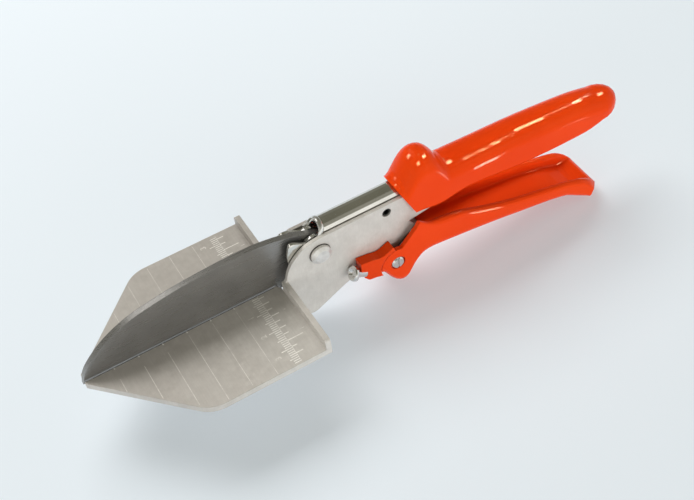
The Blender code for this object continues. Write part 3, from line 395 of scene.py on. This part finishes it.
def engraving(name, low, high):
    """Pale worn strokes, between two tones."""
    f = Finish(name, Metallic=0.1)
    worn = f.noise(scale=420, detail=5.0, rough=0.65)
    f.colour(f.mix(f.spread(worn, low=0.34, high=0.54), low, high))
    f.roughness(f.spread(worn, low=0.3, high=0.7, to_low=0.5, to_high=0.7))
    return f.material


def floor_look():
    """Pale matt floor with a faint glow."""
    dark = (0.53, 0.575, 0.62)
    pale = (0.55, 0.595, 0.64)
    f = Finish("floor_look", Roughness=0.9, Specular_IOR_Level=0.0,
               Emission_Color=FLOOR_GLOW, Emission_Strength=FLOOR_GLOW_STRENGTH)
    f.colour(f.mix(f.noise(scale=3, detail=2.0, rough=0.55), dark, pale))
    return f.material


LOOKS = {
    "frame_steel": frame_steel(),
    "channel_steel": channel_steel(),
    "blade_steel": blade_steel(),
    "fastener_steel": bright_steel("fastener_steel_look", (0.66, 0.655, 0.64), (0.82, 0.815, 0.80), 0.16),
    "spring_steel": bright_steel("spring_steel_look", (0.050, 0.048, 0.044), (0.090, 0.086, 0.078), 0.34),
    "grip_vinyl": dipped_vinyl("grip_vinyl_look", (0.745, 0.047, 0.0038), (0.790, 0.056, 0.0052)),
    "latch_vinyl": dipped_vinyl("latch_vinyl_look", (0.700, 0.045, 0.0032), (0.745, 0.054, 0.0046)),
}
ENGRAVED = engraving("engraving_look", (0.80, 0.78, 0.74), (0.96, 0.94, 0.90))
SCRIBED = engraving("scribed_look", (0.62, 0.595, 0.56), (0.80, 0.775, 0.735))
LIP = bright_steel("lip_look", (0.72, 0.72, 0.71), (0.86, 0.86, 0.85), 0.22)
# Painted shade for the slot's edge and under the main rivet's head
PAINTED_SHADE = crevice()
HEADED = headed_steel()

for row in frame["record"]["subparts"]:
    piece = nodes_by_name[row["node"]]
    piece.data.materials.clear()
    piece.data.materials.append(HEADED if row["node"] == "main_rivet" else LOOKS[row["material_slot"]])


def in_scene(name, data):
    """An object with some data, in the scene's collection."""
    piece = bpy.data.objects.new(name, data)
    bpy.context.scene.collection.objects.link(piece)
    return piece


def shape_of(name, work):
    """A mesh from a finished piece of work."""
    shape = bpy.data.meshes.new(name)
    work.to_mesh(shape)
    work.free()
    return shape


def strip(work, start, end, width, look):
    """A flat stroke on the table's face between two points of the tool's frame."""
    a = Vector((*start, MARK_LIFT)) + TOOL
    b = Vector((*end, MARK_LIFT)) + TOOL
    along = (b - a).normalized()
    side = Vector((-along.y, along.x, 0)) * width / 2
    corners = [work.verts.new(p) for p in (a - side, b - side, b + side, a + side)]
    work.faces.new(corners).material_index = look


def stroke(count, lengths):
    """The length of a graduation: the first whose step divides its number."""
    return next(long for step, long in lengths if count % step == 0)


def cross_lines(work, side, line_ends, wide_share):
    """Lines across a wing, each with its stub at the slot."""
    for number, (start_y, end_y) in enumerate(line_ends):
        x = FIRST_LINE_X - LINE_PITCH * number
        strip(work, (x, side * start_y), (x, side * end_y), LINE_WIDE * wide_share, SCRIBED_PLACE)
        strip(work, (x, side * (SLOT_HALF + STUB_START)), (x, side * (SLOT_HALF + STUB_END)),
              STUB_WIDE * wide_share, ENGRAVED_PLACE)


def rule(work, side, half, wide_share):
    """A rule across a wing, beside the fence."""
    strip(work, (RULE_X, side * (SLOT_HALF + BASE_START)), (RULE_X, side * (half - BASE_MARGIN)),
          BASE_WIDE * wide_share, ENGRAVED_PLACE)
    count = FIRST_MILLIMETRE
    while count * MILLIMETRE < half - MILLIMETRE_MARGIN:
        y = side * (count * MILLIMETRE + MILLIMETRE_SHIFT)
        strip(work, (RULE_X, y), (RULE_X - stroke(count, MILLIMETRE_LENGTHS), y),
              MILLIMETRE_WIDE * wide_share, ENGRAVED_PLACE)
        count += 1
    count = 1
    while count * EIGHTH < half - EIGHTH_MARGIN:
        y = side * count * EIGHTH
        strip(work, (RULE_X, y), (RULE_X + stroke(count, EIGHTH_LENGTHS), y),
              EIGHTH_WIDE * wide_share, ENGRAVED_PLACE)
        count += 1


def marks(name, side, half, line_ends, wide_share):
    """Cross lines, rule and a painted shade line along the slot's edge, on one wing."""
    work = bmesh.new()
    cross_lines(work, side, line_ends, wide_share)
    rule(work, side, half, wide_share)
    # Painted shade along the slot's edge
    edge = side * (SLOT_HALF + EDGE_IN)
    strip(work, (EDGE_FRONT_X, edge), (EDGE_REAR_X, edge), EDGE_WIDE, PAINTED_SHADE_PLACE)
    piece = in_scene(name, shape_of(name, work))
    for look in (ENGRAVED, SCRIBED, PAINTED_SHADE):
        piece.data.materials.append(look)
    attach(piece, "frame")


def numeral(name, digit, at, size=NUMBER_SIZE):
    """A number on the table's face, its top towards the tip."""
    curve = bpy.data.curves.new(name, "FONT")
    curve.body = digit
    curve.size = size
    curve.offset = size * NUMBER_SWELL_SHARE
    curve.align_x = "CENTER"
    curve.align_y = "CENTER"
    curve.materials.append(SCRIBED)
    piece = in_scene(name, curve)
    piece.location = Vector((*at, MARK_LIFT)) + TOOL
    piece.rotation_euler = (0, 0, NUMBER_TURN)
    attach(piece, "frame")


marks("near_table_marks", -1, HALF_NEAR, NEAR_LINES, NEAR_WIDE_SHARE)
marks("far_table_marks", 1, HALF_FAR, FAR_LINES, FAR_WIDE_SHARE)
for count, y in CENTIMETRES:
    numeral(f"near_number_{count}", str(count), (NUMBER_X, -y))
    numeral(f"far_number_{count}", str(count), (NUMBER_X, y))
for title, digit, at, size in SMALL_NUMBERS:
    numeral(title, digit, at, size)


def own_piece(name, work, place, look, body):
    """A shape of the scene's own, smooth but for its sharp edges, riding a body."""
    bmesh.ops.recalc_face_normals(work, faces=work.faces)
    shape = shape_of(name, work)
    shape.transform(place)
    for face in shape.polygons:
        face.use_smooth = True
    shape.set_sharp_from_angle(angle=SHARP_EDGE)
    shape.materials.append(look)
    piece = in_scene(name, shape)
    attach(piece, body)
    return piece


def spun(rows):
    """A shape turned about the X axis from rows of radius and place along it, closed at both ends."""
    work = bmesh.new()
    rings = []
    for radius, along in rows:
        steps = ROUND_SIDES if radius else 1
        rings.append([work.verts.new((along, radius * math.cos(math.tau * k / steps),
                                      radius * math.sin(math.tau * k / steps))) for k in range(steps)])
    for first, second in zip(rings, rings[1:]):
        for k in range(ROUND_SIDES):
            corners = [first[k % len(first)], first[(k + 1) % len(first)],
                       second[(k + 1) % len(second)], second[k % len(second)]]
            work.faces.new(list(dict.fromkeys(corners)))
    return work


def rolled_rim(points, tall, wide):
    """A bead along a line of points, wider along X than tall, closed at both ends."""
    work = bmesh.new()
    rings = []
    for number, point in enumerate(points):
        ahead = points[min(number + 1, len(points) - 1)] - points[max(number - 1, 0)]
        side = ahead.cross(Vector((1, 0, 0))).normalized()
        lift = ahead.cross(side).normalized()
        rings.append([work.verts.new(point + side * tall * math.cos(math.tau * k / BEAD_SIDES)
                                     + lift * wide * math.sin(math.tau * k / BEAD_SIDES))
                      for k in range(BEAD_SIDES)])
    for first, second in zip(rings, rings[1:]):
        for k in range(BEAD_SIDES):
            after = (k + 1) % BEAD_SIDES
            work.faces.new((first[k], first[after], second[after], second[k]))
    work.faces.new(rings[0])
    work.faces.new(rings[-1])
    return work


def thumb_stud():
    """The stud in the latch's front end."""
    place = Matrix.Translation(STUD_AT + TOOL) @ Matrix.Rotation(STUD_TILT, 4, "Y")
    stud = own_piece("thumb_stud", spun(STUD_ROWS), place, LOOKS["fastener_steel"],
                     "latch")
    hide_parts("latch_stud")


def mouth_x(level):
    """Where the channel's mouth lies along X at a level."""
    for (low, start), (high, end) in zip(MOUTH_LINE, MOUTH_LINE[1:]):
        if level <= high:
            return start + (end - start) * max(0.0, (level - low) / (high - low))
    return MOUTH_LINE[-1][1]


def channel_lip():
    """The lip over the channel's round mouth."""
    points = []
    for number in range(LIP_STEPS + 1):
        turn = -MOUTH_TURN + (math.pi + 2 * MOUTH_TURN) * number / LIP_STEPS
        level = MOUTH_CENTRE_Z + MOUTH_HALF * math.sin(turn)
        points.append(Vector((mouth_x(level), -MOUTH_HALF * math.cos(turn), level)))
    own_piece("channel_lip", rolled_rim(points, LIP_TALL, LIP_WIDE), Matrix.Translation(TOOL),
              LIP, "frame")


def rivet_seat():
    """A thin dark disc of painted shade under the main rivet's head."""
    outside = -CHEEK_OUTSIDE - SEAT_PROUD
    rows = ((0, outside), (SEAT_RADIUS, outside), (SEAT_RADIUS, -CHEEK_OUTSIDE), (0, -CHEEK_OUTSIDE))
    place = Matrix.Translation(joint_at["blade_pivot"]) @ Matrix.Rotation(math.pi / 2, 4, "Z")
    own_piece("rivet_seat", spun(rows), place, PAINTED_SHADE, "frame")


thumb_stud()
channel_lip()
rivet_seat()


def sheet_of_floor():
    """A plain level sheet under the tool."""
    work = bmesh.new()
    bmesh.ops.create_grid(work, x_segments=FLOOR_STEPS, y_segments=FLOOR_STEPS, size=FLOOR_SPAN / 2,
                          matrix=Matrix.Translation((0, 0, FLOOR_LEVEL)))
    floor = in_scene("floor", shape_of("floor", work))
    floor.data.materials.append(floor_look())


def area_light(name, wide, tall, watts, tint):
    """A rectangle of light that the camera doesn't see."""
    data = bpy.data.lights.new(name, "AREA")
    data.shape = "RECTANGLE"
    data.size = wide
    data.size_y = tall
    data.energy = watts
    data.color = tint
    lamp = in_scene(name, data)
    lamp.visible_camera = False
    return lamp


def softbox(name, at, aim, wide, tall, watts, tint, in_reflections):
    """A large light at a place, aimed at a point."""
    lamp = area_light(name, wide, tall, watts, tint)
    facing = (Vector(aim) - Vector(at)).to_track_quat("-Z", "Y").to_matrix()
    lamp.matrix_world = Matrix.Translation(at) @ facing.to_4x4()
    lamp.visible_glossy = in_reflections


def tube_light(name, start, end, wide, watts, receivers):
    """A thin light between two points, facing the tool, that only lights some pieces' gloss."""
    a, b = Vector(start), Vector(end)
    middle = (a + b) / 2
    along = (b - a).normalized()
    back = middle - STRIP_AIM
    back = (back - along * back.dot(along)).normalized()
    lamp = area_light(name, (b - a).length, wide, watts, STRIP_TINT)
    facing = Matrix((along, back.cross(along), back)).transposed()
    lamp.matrix_world = Matrix.Translation(middle) @ facing.to_4x4()
    lamp.visible_diffuse = False
    lamp.light_linking.receiver_collection = receivers


def backdrop():
    """Surroundings with tones that go by height, unlike on the near and far sides."""
    world = bpy.data.worlds.new("studio")
    world.use_nodes = True
    tree = world.node_tree
    place = tree.nodes.new("ShaderNodeTexCoord")
    split = tree.nodes.new("ShaderNodeSeparateXYZ")
    tree.links.new(place.outputs["Generated"], split.inputs[0])

    def ramp(value, stops):
        """Tones at their places along a value."""
        node = tree.nodes.new("ShaderNodeValToRGB")
        node.color_ramp.interpolation = "EASE"
        while len(node.color_ramp.elements) < len(stops):
            node.color_ramp.elements.new(NEW_STOP)
        for element, (at, tone) in zip(node.color_ramp.elements, stops):
            element.position = at
            element.color = (*tone, 1.0)
        tree.links.new(value, node.inputs["Fac"])
        return node.outputs["Color"]

    height = tree.nodes.new("ShaderNodeMapRange")
    height.inputs["From Min"].default_value = -1.0
    tree.links.new(split.outputs["Z"], height.inputs["Value"])
    side = tree.nodes.new("ShaderNodeMapRange")
    side.inputs["From Min"].default_value = NEAR_SKY_Y
    side.inputs["From Max"].default_value = FAR_SKY_Y
    tree.links.new(split.outputs["Y"], side.inputs["Value"])
    join = tree.nodes.new("ShaderNodeMix")
    join.data_type = "RGBA"
    tree.links.new(side.outputs[0], join.inputs["Factor"])
    tree.links.new(ramp(height.outputs[0], NEAR_SKY), join.inputs["A"])
    tree.links.new(ramp(height.outputs[0], FAR_SKY), join.inputs["B"])
    tree.links.new(join.outputs["Result"], tree.nodes["Background"].inputs["Color"])
    bpy.context.scene.world = world


def camera():
    """The camera, with its place and turns."""
    lens = bpy.data.cameras.new("camera")
    lens.sensor_width = SENSOR
    lens.lens = FOCAL_PIXELS / IMAGE_WIDE * SENSOR
    lens.clip_start = CLIP_START
    eye = in_scene("camera", lens)
    eye.location = TOOL + CAMERA_AT
    eye.rotation_euler = [math.radians(turn) for turn in CAMERA_TURNS]
    bpy.context.scene.camera = eye


sheet_of_floor()
backdrop()
for row in SOFTBOXES:
    softbox(*row)
dipped = bpy.data.collections.new("dipped_pieces")
for title in DIPPED:
    dipped.objects.link(nodes_by_name[title])
for row in STRIPS:
    tube_light(*row, dipped)
camera()
bpy.context.scene.view_settings.view_transform = "Standard"
